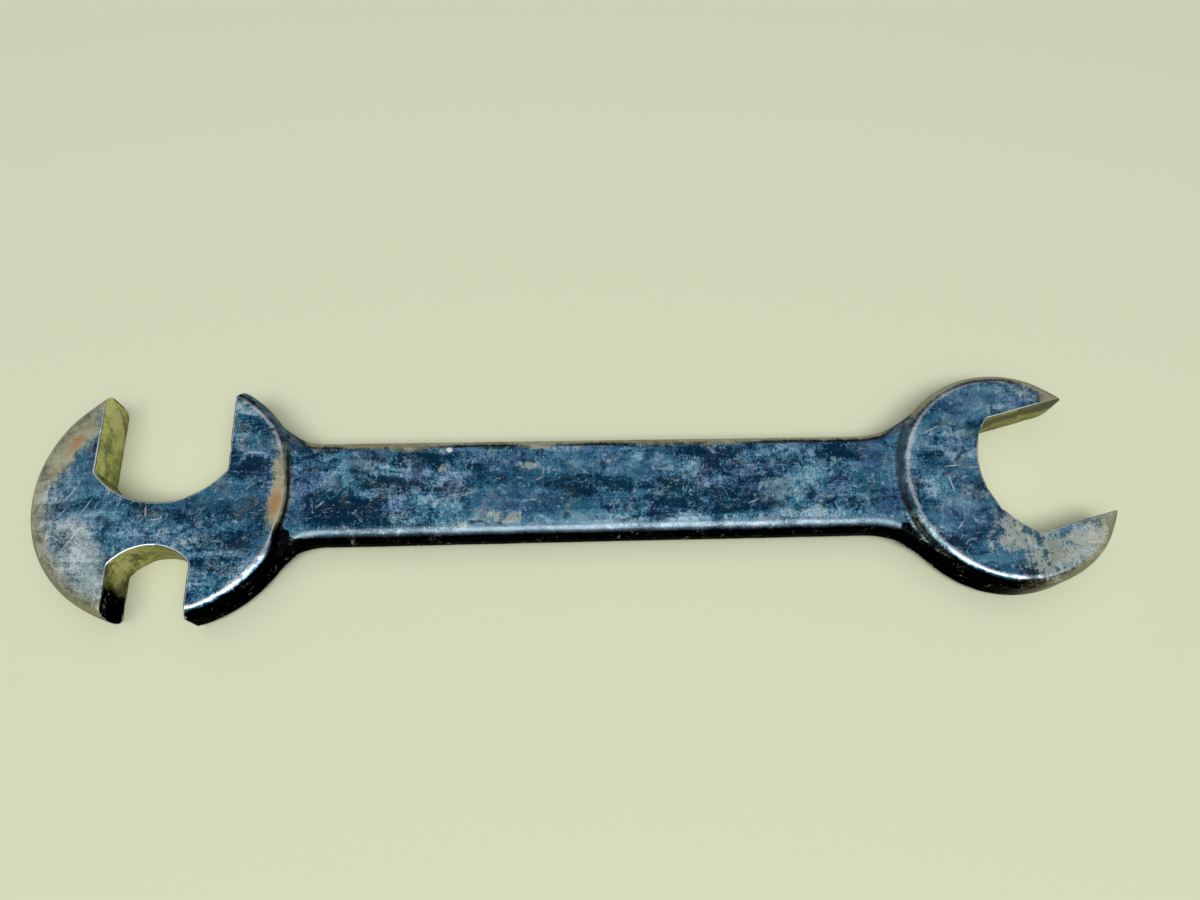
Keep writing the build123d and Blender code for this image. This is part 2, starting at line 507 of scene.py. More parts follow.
def face_grid(jaws, grid):
    """An even grid over the flat faces."""
    low, high = (np.array(corner[:2]) * MM for corner in CAD_BOX)
    x, y = np.meshgrid(np.arange(low[0], high[0], grid), np.arange(low[1], high[1], grid * sqrt(0.75)))
    x[::2] += grid / 2
    points = np.column_stack((x.ravel(), y.ravel()))
    keep = shank_inset(points) > FLAT_START * shank_edge_width(points) + GRID_FROM_ROWS
    for head in HEADS:
        keep &= head.step(points) > GRID_FROM_STEP
    for head in HEADS:
        keep |= head.step(points) < -FLAT_START * rim_shape(head, points)[0] - GRID_FROM_ROWS
    points = points[keep]
    return points[jaw_gap(points, jaws) > GRID_FROM_JAW]


def forge_mesh(name, spacing, grid, edge_break):
    """The plain wrench as one closed mesh in millimetres, with rows of faces along every rounded edge."""
    outline, jaws = plan_outline(spacing)
    count = len(outline)
    inner = (head_rows(jaws, spacing), shank_rows(spacing), jaw_rows(jaws), face_grid(jaws, grid))
    plan = np.vstack((outline, *inner))
    flat, _, faces, origin, _, _ = delaunay_2d_cdt(
        [Vector(p) for p in plan], [], [list(range(count))], 1, 1e-5
    )
    place = np.array([p[:] for p in flat])
    rim = np.zeros(count, int)
    for index, sources in enumerate(origin):
        for source in sources:
            if source < count:
                rim[source] = index
    height = top_height(place, jaw_gap(place, jaws), edge_break)
    total = len(place)
    top = np.column_stack((place, height))
    bottom = np.column_stack((place, HEAD_TOP - height))
    levels = [top, bottom]
    ring = [rim]
    for row in range(1, WALL_ROWS):
        t = row / WALL_ROWS
        levels.append(top[rim] * (1 - t) + bottom[rim] * t)
        ring.append(2 * total + (row - 1) * count + np.arange(count))
    ring.append(rim + total)
    quads = []
    for upper, lower in zip(ring[:-1], ring[1:]):
        quads.append(np.column_stack((upper, lower, np.roll(lower, -1), np.roll(upper, -1))))
    mesh = bpy.data.meshes.new(name)
    turned = [[total + i for i in reversed(f)] for f in faces]
    mesh.from_pydata(np.vstack(levels), [], list(faces) + turned + np.vstack(quads).tolist())
    return mesh, jaws


def spot_field(points, spots):
    """A soft field of oval spots: each has its strength in the middle and half of it at its rim."""
    field = np.zeros(len(points))
    for x, y, half_length, half_width, turn, strength in spots:
        cos, sin = np.cos(radians(turn)), np.sin(radians(turn))
        away = points[:, :2] - (x, y)
        u = (away[:, 0] * cos + away[:, 1] * sin) / half_length
        v = (away[:, 1] * cos - away[:, 0] * sin) / half_width
        field += strength * 0.5 ** (u * u + v * v)
    return field


def strewn(points, rng, count, strength):
    """Spots of random size and turn at points drawn from those given."""
    spots = []
    for index in rng.choice(len(points), count, replace=False):
        long, wide, turn = rng.uniform(2.0, 6.0), rng.uniform(0.8, 2.6), rng.uniform(0, 180)
        spots.append((*points[index, :2], long, wide, turn, strength))
    return spots


def wavy(points, rng, count, shortest, longest):
    """A smooth uneven field between about -1 and 1, made of waves of many directions and lengths."""
    total = np.zeros(len(points))
    for _ in range(count):
        heading = rng.normal(size=3)
        heading *= 2 * pi / (np.linalg.norm(heading) * rng.uniform(shortest, longest))
        total += np.cos(points @ heading + rng.uniform(0, 2 * pi))
    return total / sqrt(2 * count)


def dent(points, normals, rng, choices, count, widths, depths):
    """Presses small round dents into the surface at points drawn from the choices."""
    for index in rng.choice(choices, count, replace=False):
        width, depth = rng.uniform(*widths), rng.uniform(*depths)
        gap = ((points - points[index]) ** 2).sum(1)
        near = gap < (3 * width) ** 2
        points[near] -= normals[near] * (depth * np.exp(-gap[near] / width**2))[:, None]


# Worn places on the upper side, in mm: x, y, half length, half width, turn in degrees and strength.
# Where the oxide is rubbed down to bare steel
BARE_SPOTS = (
    (-103.4, -8.3, 3.0, 2.0, -45, 0.75),
    (-101.6, -13.4, 4.2, 3.0, -60, 0.85),
    (-100.3, -20.0, 4.4, 3.2, -40, 0.95),
    (-108.0, 14.5, 6.0, 2.6, 52, 0.6),
    (108.2, -13.2, 5.0, 4.0, 35, 1.0),
    (103.5, -16.0, 3.6, 3.0, 30, 0.8),
    (103.8, 19.6, 4.0, 2.2, -22, 0.65),
    (98.7, 20.5, 0.9, 0.9, 0, 0.7),
    (-89.0, -3.9, 2.2, 1.6, 0, 0.4),
    (-73.4, 21.0, 1.2, 1.6, 20, 0.8),
    (-70.6, -15.6, 0.9, 0.9, 0, 0.6),
    (72.4, -11.2, 4.8, 1.3, -53, 0.8),
)
# Where the steel has a thin tan stain
STAIN_SPOTS = (
    (-108.6, 9.5, 5.5, 1.5, 62, 0.9),
    (-105.6, 14.3, 2.6, 1.5, 50, 0.7),
    (-64.3, 4.5, 5.5, 1.5, 93, 1.0),
    (-64.6, -3.4, 4.4, 1.5, 78, 1.0),
    (94.8, -17.3, 1.6, 1.9, 0, 0.75),
    (91.0, -9.8, 4.0, 0.8, -40, 0.75),
    (111.8, -10.9, 1.5, 3.0, 20, 0.6),
    (107.5, -13.8, 4.5, 3.2, 35, 0.66),
    (114.6, -8.2, 3.0, 1.9, 72, 0.9),
    (106.8, 18.6, 3.4, 1.8, -32, 0.85),
    (104.5, 18.6, 2.6, 1.0, -20, 0.5),
    (-38.0, 10.3, 4.6, 0.8, 0, 0.7),
    (-20.1, 9.4, 2.2, 0.6, 0, 0.6),
    (-9.9, 10.3, 4.2, 0.7, 0, 0.7),
    (-48.2, 10.9, 6.0, 0.7, 0, 0.6),
    (15.0, 10.4, 6.5, 0.6, 0, 0.6),
    (30.3, 10.4, 5.5, 0.6, 0, 0.6),
)
# Where a pale crust has eaten into the oxide
CRUST_SPOTS = (
    (94.0, -13.0, 5.5, 3.8, -35, 0.85),
    (97.8, -17.6, 4.2, 2.8, 20, 0.95),
    (102.0, -13.8, 2.4, 2.4, 0, 0.9),
    (89.5, -12.0, 3.0, 2.6, 0, 0.5),
    (86.5, -15.5, 2.5, 2.0, 0, 0.3),
    (-31.0, 5.2, 1.0, 0.9, 0, 1.2),
    (-12.5, 6.2, 1.5, 0.8, -10, 1.2),
    (-17.3, -5.6, 3.8, 0.95, -6, 1.4),
    (-26.8, -6.8, 1.4, 0.7, 0, 1.1),
)
# Where red rust shows
RUST_SPOTS = (
    (-107.6, 11.6, 3.2, 1.1, 60, 0.9),
    (-64.8, -2.0, 3.4, 1.2, 80, 1.0),
    (90.7, -14.2, 0.7, 0.6, 0, 0.6),
)
# Where the oxide is scuffed paler, or has stayed darker where the strength is negative
TONE_SPOTS = (
    (106.4, 19.2, 4.6, 2.6, -32, -0.65),
    (114.8, -8.0, 3.4, 2.0, 72, -0.3),
    (-54.4, 4.5, 1.5, 3.0, 15, 0.8),
    (-51.1, 5.4, 1.0, 2.8, 20, 0.8),
    (-57.5, 2.0, 1.2, 3.5, 10, 0.25),
    (24.1, 5.8, 4.5, 2.2, 0, 0.6),
    (-69.7, 9.2, 3.0, 0.8, 0, 0.8),
    (79.4, 0.0, 3.5, 4.5, 0, 0.3),
    (74.0, 2.6, 2.0, 5.0, 0, 0.25),
    (72.1, 9.2, 1.4, 3.4, -20, 0.5),
    (60.0, -3.2, 1.0, 1.6, 0, 0.5),
    (-98.0, -3.0, 4.0, 3.0, 0, 0.35),
    (-40.0, -5.5, 12.0, 1.4, 0, 0.25),
    (20.0, -6.5, 40.0, 1.5, 0, 0.45),
    (11.6, 8.2, 0.6, 0.6, 0, 0.9),
    (-51.2, -3.9, 6.0, 2.1, 0, -1.3),
    (-38.4, 8.1, 6.0, 1.0, 0, -0.5),
    (-92.0, -1.0, 7.0, 4.0, 0, -0.3),
    (88.0, 17.0, 9.0, 4.0, 0, 0.2),
    (108.0, -13.5, 4.0, 3.5, 35, 0.4),
    (-106.0, 16.0, 6.0, 2.5, 52, -0.45),
    (-97.0, -17.0, 1.5, 4.0, 0, -0.35),
    (-55.0, -1.0, 4.0, 4.0, 0, -0.3),
    (-30.0, 0.5, 8.0, 3.0, 0, 0.2),
    (-12.0, -1.0, 8.0, 3.5, 0, -0.25),
    (-75.0, -3.0, 6.0, 6.0, 0, -0.4),
    (-68.0, 3.0, 2.0, 7.0, 0, -0.4),
    (0.0, 1.5, 14.0, 3.0, 0, -0.3),
    (32.2, -4.1, 6.0, 1.6, 0, -0.6),
    (23.0, -4.0, 3.0, 1.4, 0, -0.5),
    (61.5, 0.0, 5.0, 6.0, 0, -0.5),
    (80.6, -12.3, 3.5, 3.0, -30, -0.5),
    (85.3, -9.3, 2.4, 2.4, 0, -0.5),
    (97.7, -14.7, 1.2, 2.8, 0, -0.8),
    (90.8, -10.4, 2.0, 1.5, 0, -0.4),
    (100.0, 13.0, 4.0, 3.0, 15, -0.35),
    (-104.7, 9.0, 2.0, 4.8, 0, 0.15),
    (-24.6, 2.9, 5.0, 3.0, 0, -0.3),
    (101.0, 17.3, 14.0, 1.2, 15, -0.8),
    (-102.6, 12.5, 1.0, 2.6, 0, -0.35),
    (-102.6, 20.0, 1.0, 2.0, 0, 0.4),
)
# Where the narrow jaw's walls are painted black: painted shade, made by leaving off the jaw's coat so the
# walls' near-black shows
PAINTED_SHADE_JAW_SPOTS = (
    (-97.0, -23.0, 1.5, 5.5, 0, 1.1),
    (-81.0, -23.0, 1.0, 2.5, 0, 1.1),
)
# Each kind of worn place: its spots on the upper side, and how many and how strong on the lower side
WORN_PLACES = {
    "bare": (BARE_SPOTS, 8, 0.8),
    "stain_and_painted_reflection": (STAIN_SPOTS, 6, 0.8),
    "crust": (CRUST_SPOTS, 8, 0.7),
    "rust": (RUST_SPOTS, 3, 0.6),
    "tone": (TONE_SPOTS, 14, 0.6),
}


def crescent_wear(points, reach):
    """Wear of the double head's outer rim, where it has been gripped and slid along the bench."""
    turn = np.degrees(DOUBLE.angle(points)) % 360
    side = smooth(96, 112, turn) * smooth(264, 250, turn)
    return side * 0.5 ** ((DOUBLE.outset(points) / reach) ** 2)


def rim_share(head, plan):
    """How far inside a head's rim points lie, in widths of its rounding."""
    return -head.step(plan) / rim_shape(head, plan)[0]


def single_head_far_rim_and_end_wall(plan):
    """The single head's rim on the +Y side, which gets a tan painted reflection, and its outer wall below the
    jaw.
    """
    turn = np.degrees(SINGLE.angle(plan))
    share = rim_share(SINGLE, plan)
    far_rim_reflection = smooth(0, 20, turn) * smooth(160, 130, turn) * (share > -0.1)
    far_rim_reflection *= smooth(0.9, 0.3, share - 0.4 * smooth(85, 60, turn))
    end_wall = smooth(-112, -62, turn) * smooth(0, -15, turn) * smooth(0.8, 0.5, share)
    return far_rim_reflection, end_wall


def painted_shade(plan, beside, share):
    """Where the shank's -Y edge runs into a head: painted shade there, which hides the end of the edge's
    highlight.
    """
    web = smooth(3.4, 1.0, beside) * smooth(-0.9, -0.3, beside) * smooth(0.9, 0.55, share)
    turn = np.degrees(DOUBLE.angle(plan))
    out = DOUBLE.step(plan)
    corner = smooth(-13, -21, turn) * smooth(-60, -45, turn) * smooth(-0.9, -0.5, out) * smooth(2.6, 1.4, out)
    past_edge = abs(plan[:, 1] - SHANK_AXIS) - shank_half(plan[:, 0])
    corner = np.maximum(corner, smooth(-1.0, -0.2, past_edge) * smooth(10.0, 4.0, out) * (out > 0))
    return np.maximum(web, corner) * smooth(SHANK_AXIS, -4.0, plan[:, 1])


def wear_fields(points, normals, gap, rng):
    """What the finish needs to know at each point: which kind of surface it is, how it is worn, and where
    shade, light and reflection are painted.
    """
    plan, height = points[:, :2], points[:, 2]
    rise = normals[:, 2]
    flatness = abs(rise)
    in_jaw = (1 - smooth(0.55, 0.85, flatness)) * (gap < 0.1)
    for _, tip in TIPS:
        in_jaw *= smooth(tip.radius, tip.radius + 0.1, np.hypot(*(plan - tip.centre).T))
    outside = 1 - in_jaw

    # Spots on both sides. On upright walls only their tone shows.
    upper_side = smooth(4.0, 7.0, height)
    lower_face = points[(rise < -0.95) & (gap > 1.0)]
    fields = {}
    for name, (upper, count, strength) in WORN_PLACES.items():
        lower = strewn(lower_face, rng, count, strength)
        fields[name] = spot_field(plan, upper) * upper_side + spot_field(plan, lower) * (1 - upper_side)
        if name != "tone":
            fields[name] *= smooth(0.2, 0.5, flatness)

    # Rubbed rims and edges, and the crescent, which use has dulled and stained; a tan painted reflection
    # along the
    # +Y edges; and the end wall, which gets a tan coat and a darker tone
    beside = np.min([head.step(plan) for head in HEADS], 0)
    share = shank_inset(plan) / shank_edge_width(plan)
    far_rim_reflection, end_wall = single_head_far_rim_and_end_wall(plan)
    far_edge_reflection = smooth(1.0, 5.0, beside) * smooth(2, 6, plan[:, 1]) * smooth(0.9, 0.2, share)
    far_rim_reflection = np.maximum(far_rim_reflection, far_edge_reflection) * smooth(5.5, 7.5, height)
    off_middle = 0.3 + 0.7 * smooth(1.0, 3.2, abs(height - HEAD_TOP / 2))
    broad, narrow = crescent_wear(plan, 5.5), crescent_wear(plan, 3.6) * off_middle
    sole = smooth(0.02, -0.2, rise) * smooth(-0.95, -0.7, rise)
    outer = broad * smooth(1.4, 0.2, -DOUBLE.outset(plan))
    outer_end = 0.7 * end_wall * smooth(2.0, 0.5, -SINGLE.outset(plan))
    fields["tone"] -= (0.9 * outer + outer_end) * outside
    fields["bare"] += broad * off_middle * outside + 0.7 * sole
    fields["stain_and_painted_reflection"] += np.max((0.9 * narrow, far_rim_reflection, 0.9 * end_wall), 0) * outside
    # The jaw's coat is left off at the painted shade spots low in the narrow jaw
    fields["jaw_wall"] = in_jaw * np.clip(1 - spot_field(plan, PAINTED_SHADE_JAW_SPOTS), 0, 1)
    fields["jaw_edge"] = smooth(0.55, 0.25, gap) * smooth(0.2, 0.5, flatness)
    fields["rim"] = np.max([bell(rim_share(head, plan), 0.8, 0.24) for head in HEADS], 0)
    fields["edge"] = smooth(-0.2, 0.6, beside) * bell(share, 0.5, 0.35)

    # How level the surface is, which sets the painted shade: near-black on walls and steep slopes, darkest on
    # those facing -Y. Painted light on slopes that face away from -Y. Where the -Y edge meets a head, painted
    # shade and no painted light.
    away = normals[:, 1] / np.maximum(np.hypot(*normals[:, :2].T), 0.05)
    shade_at_edge_end = painted_shade(plan, beside, share)
    fields["level"] = np.arcsin(np.clip(flatness, 0, 1)) / (pi / 2)
    fields["level"] += 0.3 * smooth(-0.8, 0.1, away) + 0.2 * smooth(0.3, 0.9, away)
    fields["level"] -= 1.1 * shade_at_edge_end
    slope = smooth(0.1, 0.35, flatness) * smooth(0.95, 0.8, flatness)
    fields["slope_painted_light"] = slope * smooth(-0.6, -0.15, away) * smooth(0.3, 1.0, gap)
    fields["slope_painted_light"] *= 1 - shade_at_edge_end
    return fields


def to_linear(code):
    """An sRGB hex colour as linear red, green, blue and alpha."""
    parts = [int(code[i : i + 2], 16) / 255 for i in (1, 3, 5)]
    return [p / 12.92 if p <= 0.04045 else ((p + 0.055) / 1.055) ** 2.4 for p in parts] + [1.0]


def add_node(tree, kind, inputs=(), stops=(), **settings):
    """Adds one shader node: its inputs are values or links to other nodes, and stops fill a colour ramp."""
    node = tree.nodes.new("ShaderNode" + kind)
    for name, value in settings.items():
        setattr(node, name, value)
    for socket, value in dict(inputs).items():
        if isinstance(value, bpy.types.NodeSocket):
            tree.links.new(value, node.inputs[socket])
        else:
            node.inputs[socket].default_value = value
    for index, (place, hue) in enumerate(stops):
        ramp = node.color_ramp.elements
        stop = ramp[index] if index < 2 else ramp.new(place)
        stop.position, stop.color = place, hue
    return node


def colour(name, description, code):
    """A colour that a user can change, written as sRGB hex."""
    return bpy.props.FloatVectorProperty(
        name=name, description=description, subtype="COLOR", size=4, min=0, max=1, default=to_linear(code)
    )


def length(name, description, millimetres):
    """A length that a user can change, written in millimetres."""
    return bpy.props.FloatProperty(
        name=name, description=description, unit="LENGTH", precision=5, default=millimetres / MM
    )


class ForgingProps(bpy.types.PropertyGroup):
    """How finely the forging is meshed, and how rough it is"""

    spacing: length("Edge spacing", "Distance between the points along every rounded edge", 0.4)
    grid: length("Face spacing", "Distance between the points on the flat faces", 0.65)
    edge_break: length("Jaw edge rounding", "Radius that use has given the edges of the jaws", 0.3)
    swell: length("Unevenness", "How far the forged surface swells and dips", 0.05)
    pitting: length("Pitting", "How deep the crust has eaten into the steel", 0.06)


class FinishProps(bpy.types.PropertyGroup):
    """Colours of the finish"""

    oxide_dark: colour("Dark oxide", "Where the oxide is thickest", "#0B2C42")
    oxide_mid: colour("Oxide", "The oxide over most of the faces", "#376A86")
    oxide_light: colour("Light oxide", "Where the oxide is handled thin", "#6892A8")
    oxide_pale: colour("Pale oxide", "Where steel begins to show through", "#A8C0CA")
    oxide_violet: colour("Violet cast", "Interference colour of a thinner oxide", "#4C5688")
    oxide_teal: colour("Teal cast", "Interference colour of a thicker oxide", "#2C6670")
    oxide_grey: colour("Grey cast", "Where the oxide is handled to a neutral grey", "#6C7674")
    # The next two colours are painted light: a grey lift on the slopes that face away from -Y
    slope_painted_light_dark: colour("Haze", "Dried oil and dust on the slopes of the rims", "#3C4E58")
    slope_painted_light_pale: colour("Pale haze", "Dried oil and dust where it is thicker", "#64767E")
    # Painted shade: the near-black painted over the upright walls and steep slopes, darkest where they face
    # -Y
    wall_painted_shade: colour("Black oxide", "The sheltered oxide on the upright walls", "#07090B")
    rim_blue: colour("Rubbed rim", "Rims that hands have rubbed", "#8A9399")
    rim_pale: colour("Polished rim", "The brightest line of a rubbed rim", "#CDD2D4")
    edge_dark: colour("Worn edge", "The shank's edges, handled dull", "#36434A")
    edge_pale: colour("Worn edge, pale", "The shank's edges where they are rubbed brighter", "#606D74")
    steel_dark: colour("Dull steel", "Bare steel that has dulled", "#5E767A")
    steel_mid: colour("Steel", "Bare steel", "#9FB0AE")
    steel_pale: colour("Bright steel", "Freshly rubbed steel", "#D8E0E0")
    # The next two colours serve real tan stains and also a tan painted reflection along the +Y edges
    stain_and_reflection_dark: colour("Dark stain", "Thin tan stain, thick part", "#9C9772")
    stain_and_reflection_pale: colour("Pale stain", "Thin tan stain, thin part", "#C6C3A2")
    crust_dark: colour("Dark crust", "Corrosion crust in the pits", "#3E5C68")
    crust_mid: colour("Crust", "Corrosion crust", "#9CB4A6")
    crust_tan: colour("Tan crust", "Corrosion crust with rust in it", "#AEA292")
    crust_pale: colour("Pale crust", "Corrosion crust on the high spots", "#BAC6BC")
    rust_deep: colour("Rust", "Red rust", "#A0672C")
    rust_pale: colour("Pale rust", "Powdery rust", "#C2955E")
    jaw_dark: colour("Jaw shadow", "Machined jaw wall, oily", "#808066")
    jaw_olive: colour("Jaw", "Machined jaw wall", "#C8CB84")
    jaw_brown: colour("Jaw, stained", "Machined jaw wall where it is stained", "#DCD2AC")
    paint: colour("Paint", "A fleck of spilt paint", "#F2F4F0")


class StudioProps(bpy.types.PropertyGroup):
    """Colours, light and lens of the studio"""

    floor: colour("Floor", "The plain floor", "#E3E6C4")
    sky: colour("Walls", "Light of the studio's walls and ceiling", "#F4F8FF")
    lens: bpy.props.FloatProperty(
        name="Lens",
        description="Focal length in millimetres on a sensor 36 mm wide",
        default=27.792,
    )
    softbox_power: bpy.props.FloatProperty(
        name="Softbox",
        description="Power of the overhead softbox in watts",
        default=9.0,
    )


# Mottle of the oxide: size in mm along X, Y and Z, detail, roughness, warp and gain. The grain stands for
# grinding and bath marks of about 0.1 mm, too fine to show, so it is drawn more than three times as coarse.
MOTTLE = {
    "blotch": ((13.0, 5.0, 6.0), 3.0, 0.5, 0.6, 1.9),
    "cloud": ((3.2, 3.2, 3.2), 6.0, 0.6, 0.8, 1.3),
    "fleck": ((0.95, 0.95, 0.95), 4.0, 0.65, 0.3, 1.0),
    "grain": ((0.36, 0.36, 0.36), 2.0, 0.7, 0.0, 1.4),
    "along": ((9.0, 0.45, 3.0), 3.0, 0.6, 0.0, 0.5),
    "across": ((0.45, 9.0, 3.0), 3.0, 0.6, 0.0, 0.4),
}

# Scratches on the upper faces, in mm: x, y, half length, half width, turn in degrees
SCRATCHES = (
    (-106.7, 0.5, 3.8, 0.26, 56),
    (-104.4, -8.2, 4.6, 0.3, 57),
    (-105.4, -9.6, 3.4, 0.2, 57),
    (-107.9, -3.6, 2.4, 0.18, 50),
    (-103.0, -2.0, 2.8, 0.16, 62),
    (-90.9, -3.4, 0.26, 2.1, 4),
    (-89.0, -5.2, 1.9, 0.24, 6),
    (-75.0, 13.2, 2.0, 0.2, 70),
    (-69.7, 9.2, 2.6, 0.26, -4),
    (-56.0, -2.0, 1.8, 0.2, 40),
    (36.0, -3.0, 2.2, 0.16, 20),
    (78.9, -0.6, 0.26, 3.2, 8),
    (79.8, 3.5, 2.6, 0.22, 4),
    (76.2, 12.0, 3.0, 0.16, 24),
    (79.4, -9.8, 1.9, 0.26, 50),
)
PAINT_FLECK = (-29.3, 9.9, 1.0, 0.95, 0)


def black_oxide_steel(props):
    """Drop-forged carbon steel, its faces ground, blackened in a hot oxide bath and then used for years.

    That gives the eye a thin blue-black skin over metal: dark and half glossy, clouded with teal and violet,
    rubbed pale on rims and scuffs, bare grey on the tips, and stained, crusted and rusted in patches. Over
    that go painted shade on the walls, painted light on slopes facing away from -Y and a tan painted
    reflection on the +Y edges.
    """
    material = bpy.data.materials.new("forged_steel_black_oxide")
    material.use_nodes = True
    tree = material.node_tree
    tree.nodes.clear()
    place = add_node(tree, "TexCoord").outputs["Object"]
    mm = add_node(tree, "VectorMath", {0: place, "Scale": MM}, operation="SCALE").outputs[0]
    field = {}
    names = ("tone", "level", "rim", "edge", "slope_painted_light", "jaw_edge", "bare", "stain_and_painted_reflection", "crust", "rust", "jaw_wall")
    for name in names:
        field[name] = add_node(tree, "Attribute", attribute_name=name).outputs["Fac"]

    # How busy the mottle is, in patches of about 16 mm: busier where the oxide is scuffed pale
    settings = {"Vector": mm, "Scale": 1 / 16, "Detail": 2.0, "Roughness": 0.5, "Distortion": 0.5}
    patch = add_node(tree, "TexNoise", settings).outputs[0]
    settings = {"Value": patch, "From Min": 0.38, "From Max": 0.62, "To Min": 0.55, "To Max": 1.3}
    busy = add_node(tree, "MapRange", settings, interpolation_type="SMOOTHSTEP").outputs[0]
    step = {0: field["tone"], 1: 0.3, 2: busy}
    busy = add_node(tree, "Math", step, operation="MULTIPLY_ADD").outputs[0]

    # How pale the oxide is at each point, a little under 0.5 on average
    mottle = {}
    mottled = -sum(gain for *_, gain in MOTTLE.values()) / 2
    for name, (size, detail, roughness, warp, gain) in MOTTLE.items():
        scale = [1 / s for s in size]
        at = add_node(tree, "VectorMath", {0: mm, 1: scale}, operation="MULTIPLY").outputs[0]
        settings = {"Vector": at, "Scale": 1.0, "Detail": detail, "Roughness": roughness, "Distortion": warp}
        mottle[name] = add_node(tree, "TexNoise", settings).outputs[0]
        step = {0: mottle[name], 1: gain, 2: mottled}
        mottled = add_node(tree, "Math", step, operation="MULTIPLY_ADD").outputs[0]
    step = {0: field["tone"], 1: 0.6, 2: 0.44}
    value = add_node(tree, "Math", step, operation="MULTIPLY_ADD").outputs[0]
    step = {0: mottled, 1: busy, 2: value}
    value = add_node(tree, "Math", step, operation="MULTIPLY_ADD").outputs[0]
    tones = (
        (0.1, props.oxide_dark),
        (0.42, props.oxide_mid),
        (0.74, props.oxide_light),
        (1.0, props.oxide_pale),
    )
    skin = add_node(tree, "ValToRGB", {0: value}, stops=tones).outputs[0]
    # Veils over the oxide: interference colours, a greyer cast, pale scuffing and dark clouds. Each has its
    # size in mm, detail, grit, warp, where it begins and is full, how much it hides, its hue and its blend.
    veils = (
        (8.0, 6.0, 0.6, 0.6, 0.5, 0.63, 0.32, props.oxide_violet, "COLOR"),
        (8.0, 6.0, 0.6, 0.6, 0.5, 0.37, 0.32, props.oxide_teal, "COLOR"),
        (5.0, 6.0, 0.6, 0.6, 0.5, 0.65, 0.4, props.oxide_grey, "COLOR"),
        (4.5, 7.0, 0.62, 2.4, 0.58, 0.66, 0.5, props.oxide_pale, "MIX"),
        (1.7, 7.0, 0.62, 1.5, 0.61, 0.68, 0.6, props.oxide_pale, "MIX"),
        (6.5, 7.0, 0.62, 1.4, 0.44, 0.35, 0.8, props.oxide_dark, "MIX"),
        (1.4, 7.0, 0.62, 1.0, 0.38, 0.31, 0.8, props.oxide_dark, "MIX"),
    )
    for size, detail, grit, warp, low, high, most, hue, blend in veils:
        settings = {"Vector": mm, "Scale": 1 / size, "Detail": detail, "Roughness": grit, "Distortion": warp}
        veil = add_node(tree, "TexNoise", settings).outputs[0]
        settings = {"Value": veil, "From Min": low, "From Max": high, "To Max": most}
        amount = add_node(tree, "MapRange", settings, interpolation_type="SMOOTHSTEP").outputs[0]
        settings = {0: amount, 6: skin, 7: hue}
        skin = add_node(tree, "Mix", settings, data_type="RGBA", blend_type=blend).outputs[2]
    settings = {"Value": value, "From Min": 0.2, "From Max": 0.9, "To Min": 0.25, "To Max": 0.36}
    rough = add_node(tree, "MapRange", settings).outputs[0]

    # Specks about 0.4 mm across, where grit has nicked the oxide, in uneven cells
    settings = {"Vector": mm, "Scale": 1 / 1.1, "Detail": 3.0, "Roughness": 0.6}
    shift = add_node(tree, "TexNoise", settings).outputs["Color"]
    step = {0: shift, 1: (2.2, 2.2, 2.2), 2: mm}
    at = add_node(tree, "VectorMath", step, operation="MULTIPLY_ADD").outputs[0]
    cells = add_node(tree, "TexVoronoi", {"Vector": at, "Scale": 1 / 1.3})
    pick = add_node(tree, "SeparateColor", {0: cells.outputs["Color"]}).outputs[0]
    settings = {"Value": cells.outputs["Distance"], "From Min": 0.17, "From Max": 0.07, "To Max": 0.9}
    dot = add_node(tree, "MapRange", settings, interpolation_type="SMOOTHSTEP").outputs[0]
    keep = add_node(tree, "Math", {0: pick, 1: 0.6}, operation="GREATER_THAN").outputs[0]
    speck = add_node(tree, "Math", {0: dot, 1: keep}, operation="MULTIPLY").outputs[0]
    settings = {0: speck, 6: skin, 7: props.oxide_pale}
    skin = add_node(tree, "Mix", settings, data_type="RGBA").outputs[2]

    # How ragged the edge of a worn place is, about 0 on average
    ragged = -1.2
    for name, gain in (("cloud", 1.0), ("fleck", 0.7), ("grain", 0.3), ("across", 0.4)):
        step = {0: mottle[name], 1: gain, 2: ragged}
        ragged = add_node(tree, "Math", step, operation="MULTIPLY_ADD").outputs[0]

    # Painted shade: the upright walls and steep slopes are painted near-black, up to a ragged line on the
    # rounded edges
    step = {0: ragged, 1: 0.16, 2: field["level"]}
    edge = add_node(tree, "Math", step, operation="MULTIPLY_ADD").outputs[0]
    settings = {"Value": edge, "From Min": 0.54, "From Max": 0.68}
    level = add_node(tree, "MapRange", settings, interpolation_type="SMOOTHSTEP").outputs[0]

    # Flakes about 1.3 mm across, each with its own tone
    step = {0: pick, 1: 0.8, 2: 0.05}
    flake = add_node(tree, "Math", step, operation="MULTIPLY_ADD").outputs[0]
    step = {0: ragged, 1: 1.7, 2: flake}
    flake = add_node(tree, "Math", step, operation="MULTIPLY_ADD").outputs[0]

